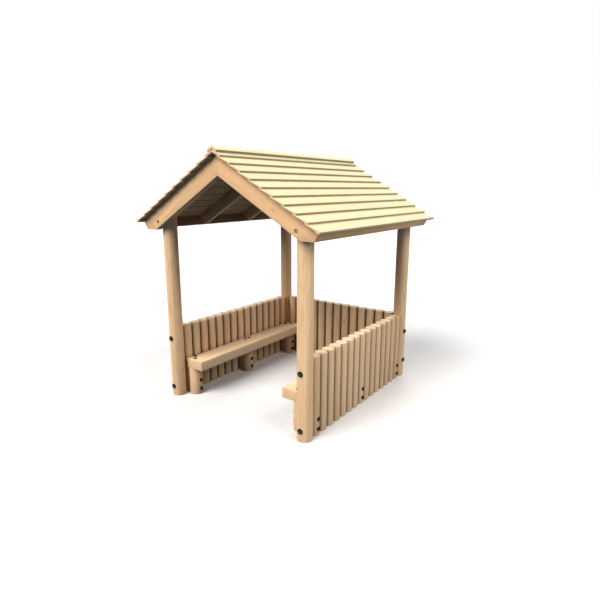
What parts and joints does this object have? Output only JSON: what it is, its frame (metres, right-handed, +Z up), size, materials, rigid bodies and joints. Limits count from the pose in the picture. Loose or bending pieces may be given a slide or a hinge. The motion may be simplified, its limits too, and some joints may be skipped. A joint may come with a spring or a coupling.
{
  "type": "garden gazebo",
  "caption": "Open-fronted timber garden gazebo: round posts, gable roof of lapped boards, low palisade walls on the other sides and a bench along each side wall.",
  "frame": {"origin": "on the ground below the middle of the roof", "axes": "+Z up, -Y towards the open front, +X to the right when facing the front from outside"},
  "size_m": [2.3072, 2.4, 2.6297],
  "materials": {
    "post_wood": "planed round softwood, clear coat",
    "rafter_wood": "planed softwood, clear coat",
    "roof_wood": "pale sawn softwood",
    "paling_wood": "planed round softwood",
    "bench_wood": "planed softwood, clear coat",
    "rod_steel": "zinc plated",
    "bolt_steel": "dull zinc",
    "cap_black": "matt black"
  },
  "bodies": {
    "root": {"front_left_post": "post_wood", "front_right_post": "post_wood", "back_left_post": "post_wood", "back_right_post": "post_wood", "front_left_rafter": "rafter_wood", "front_right_rafter": "rafter_wood", "back_left_rafter": "rafter_wood", "back_right_rafter": "rafter_wood", "inner_front_left_rafter": "rafter_wood", "inner_front_right_rafter": "rafter_wood", "inner_back_left_rafter": "rafter_wood", "inner_back_right_rafter": "rafter_wood", "left_fascia": "rafter_wood", "right_fascia": "rafter_wood", "left_roof_boards": "roof_wood", "right_roof_boards": "roof_wood", "left_ridge_board": "roof_wood", "right_ridge_board": "roof_wood", "left_palisade": "paling_wood", "right_palisade": "paling_wood", "back_palisade": "paling_wood", "left_seat": "bench_wood", "right_seat": "bench_wood", "left_front_leg": "bench_wood", "left_middle_leg": "bench_wood", "left_back_leg": "bench_wood", "right_front_leg": "bench_wood", "right_middle_leg": "bench_wood", "right_back_leg": "bench_wood", "left_tie_rods": "rod_steel", "right_tie_rods": "rod_steel", "back_tie_rods": "rod_steel", "rafter_bolts": "bolt_steel", "post_caps": "cap_black", "bench_caps": "cap_black", "seat_bolts": "cap_black"}
  },
  "joints": []
}
